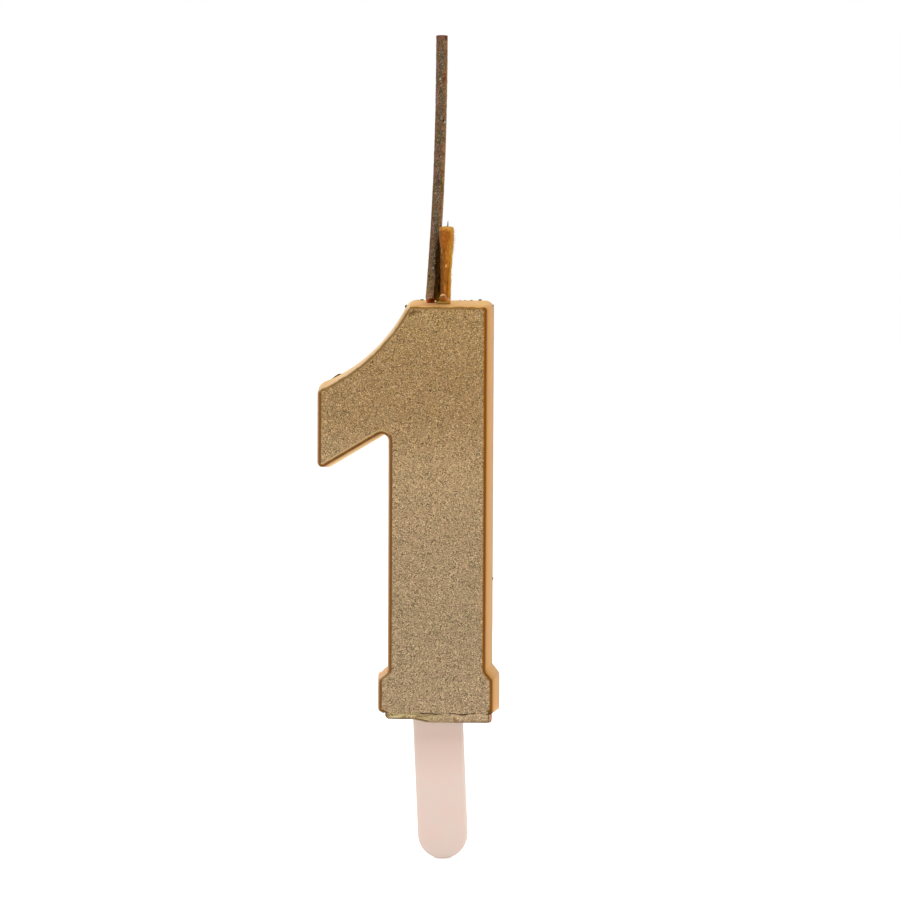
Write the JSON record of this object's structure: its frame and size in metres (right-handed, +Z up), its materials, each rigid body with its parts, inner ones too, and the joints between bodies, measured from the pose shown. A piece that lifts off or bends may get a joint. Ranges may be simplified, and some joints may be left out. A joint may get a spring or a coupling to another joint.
{
  "type": "number candle",
  "caption": "Gold cast wax numeral candle on a flat plastic pick, with a cotton wick and a slim sparkler fuse on top.",
  "frame": {"origin": "where the pick's centre line crosses the plane of the candle's underside, at the middle of the numeral's depth", "axes": "+Z up the numeral, +X to the right as the numeral is read, -Y out of the decorated face"},
  "size_m": [0.0277, 0.012, 0.1242],
  "materials": {
    "gold_wax": "gold painted wax: sandy glitter face, smooth metallic sides",
    "gold_seal": "gold painted wax, rough",
    "pink_plastic": "satin, pale pink",
    "waxed_cotton": "waxed, fuzzy",
    "core_strand": "grey thread",
    "amber_wax": "glossy drop",
    "spark_paste": "rough, with silver specks",
    "fuse_wire": "bare wire",
    "dark_resin": "glossy drop"
  },
  "bodies": {
    "planted_pick": {"pick": "pink_plastic"},
    "candle": {"number_body": "gold_wax", "foot_seal": "gold_seal", "wick": "waxed_cotton", "wick_core": "core_strand", "wick_bead": "amber_wax", "sparkler_fuse": "spark_paste", "fuse_wire": "fuse_wire", "fuse_drop": "dark_resin"}
  },
  "joints": [
    {"name": "candle_lift", "type": "slide", "parent": "planted_pick", "child": "candle", "axis": [-0.0454, 0, 0.999], "range_m": [0, 0.018]}
  ]
}
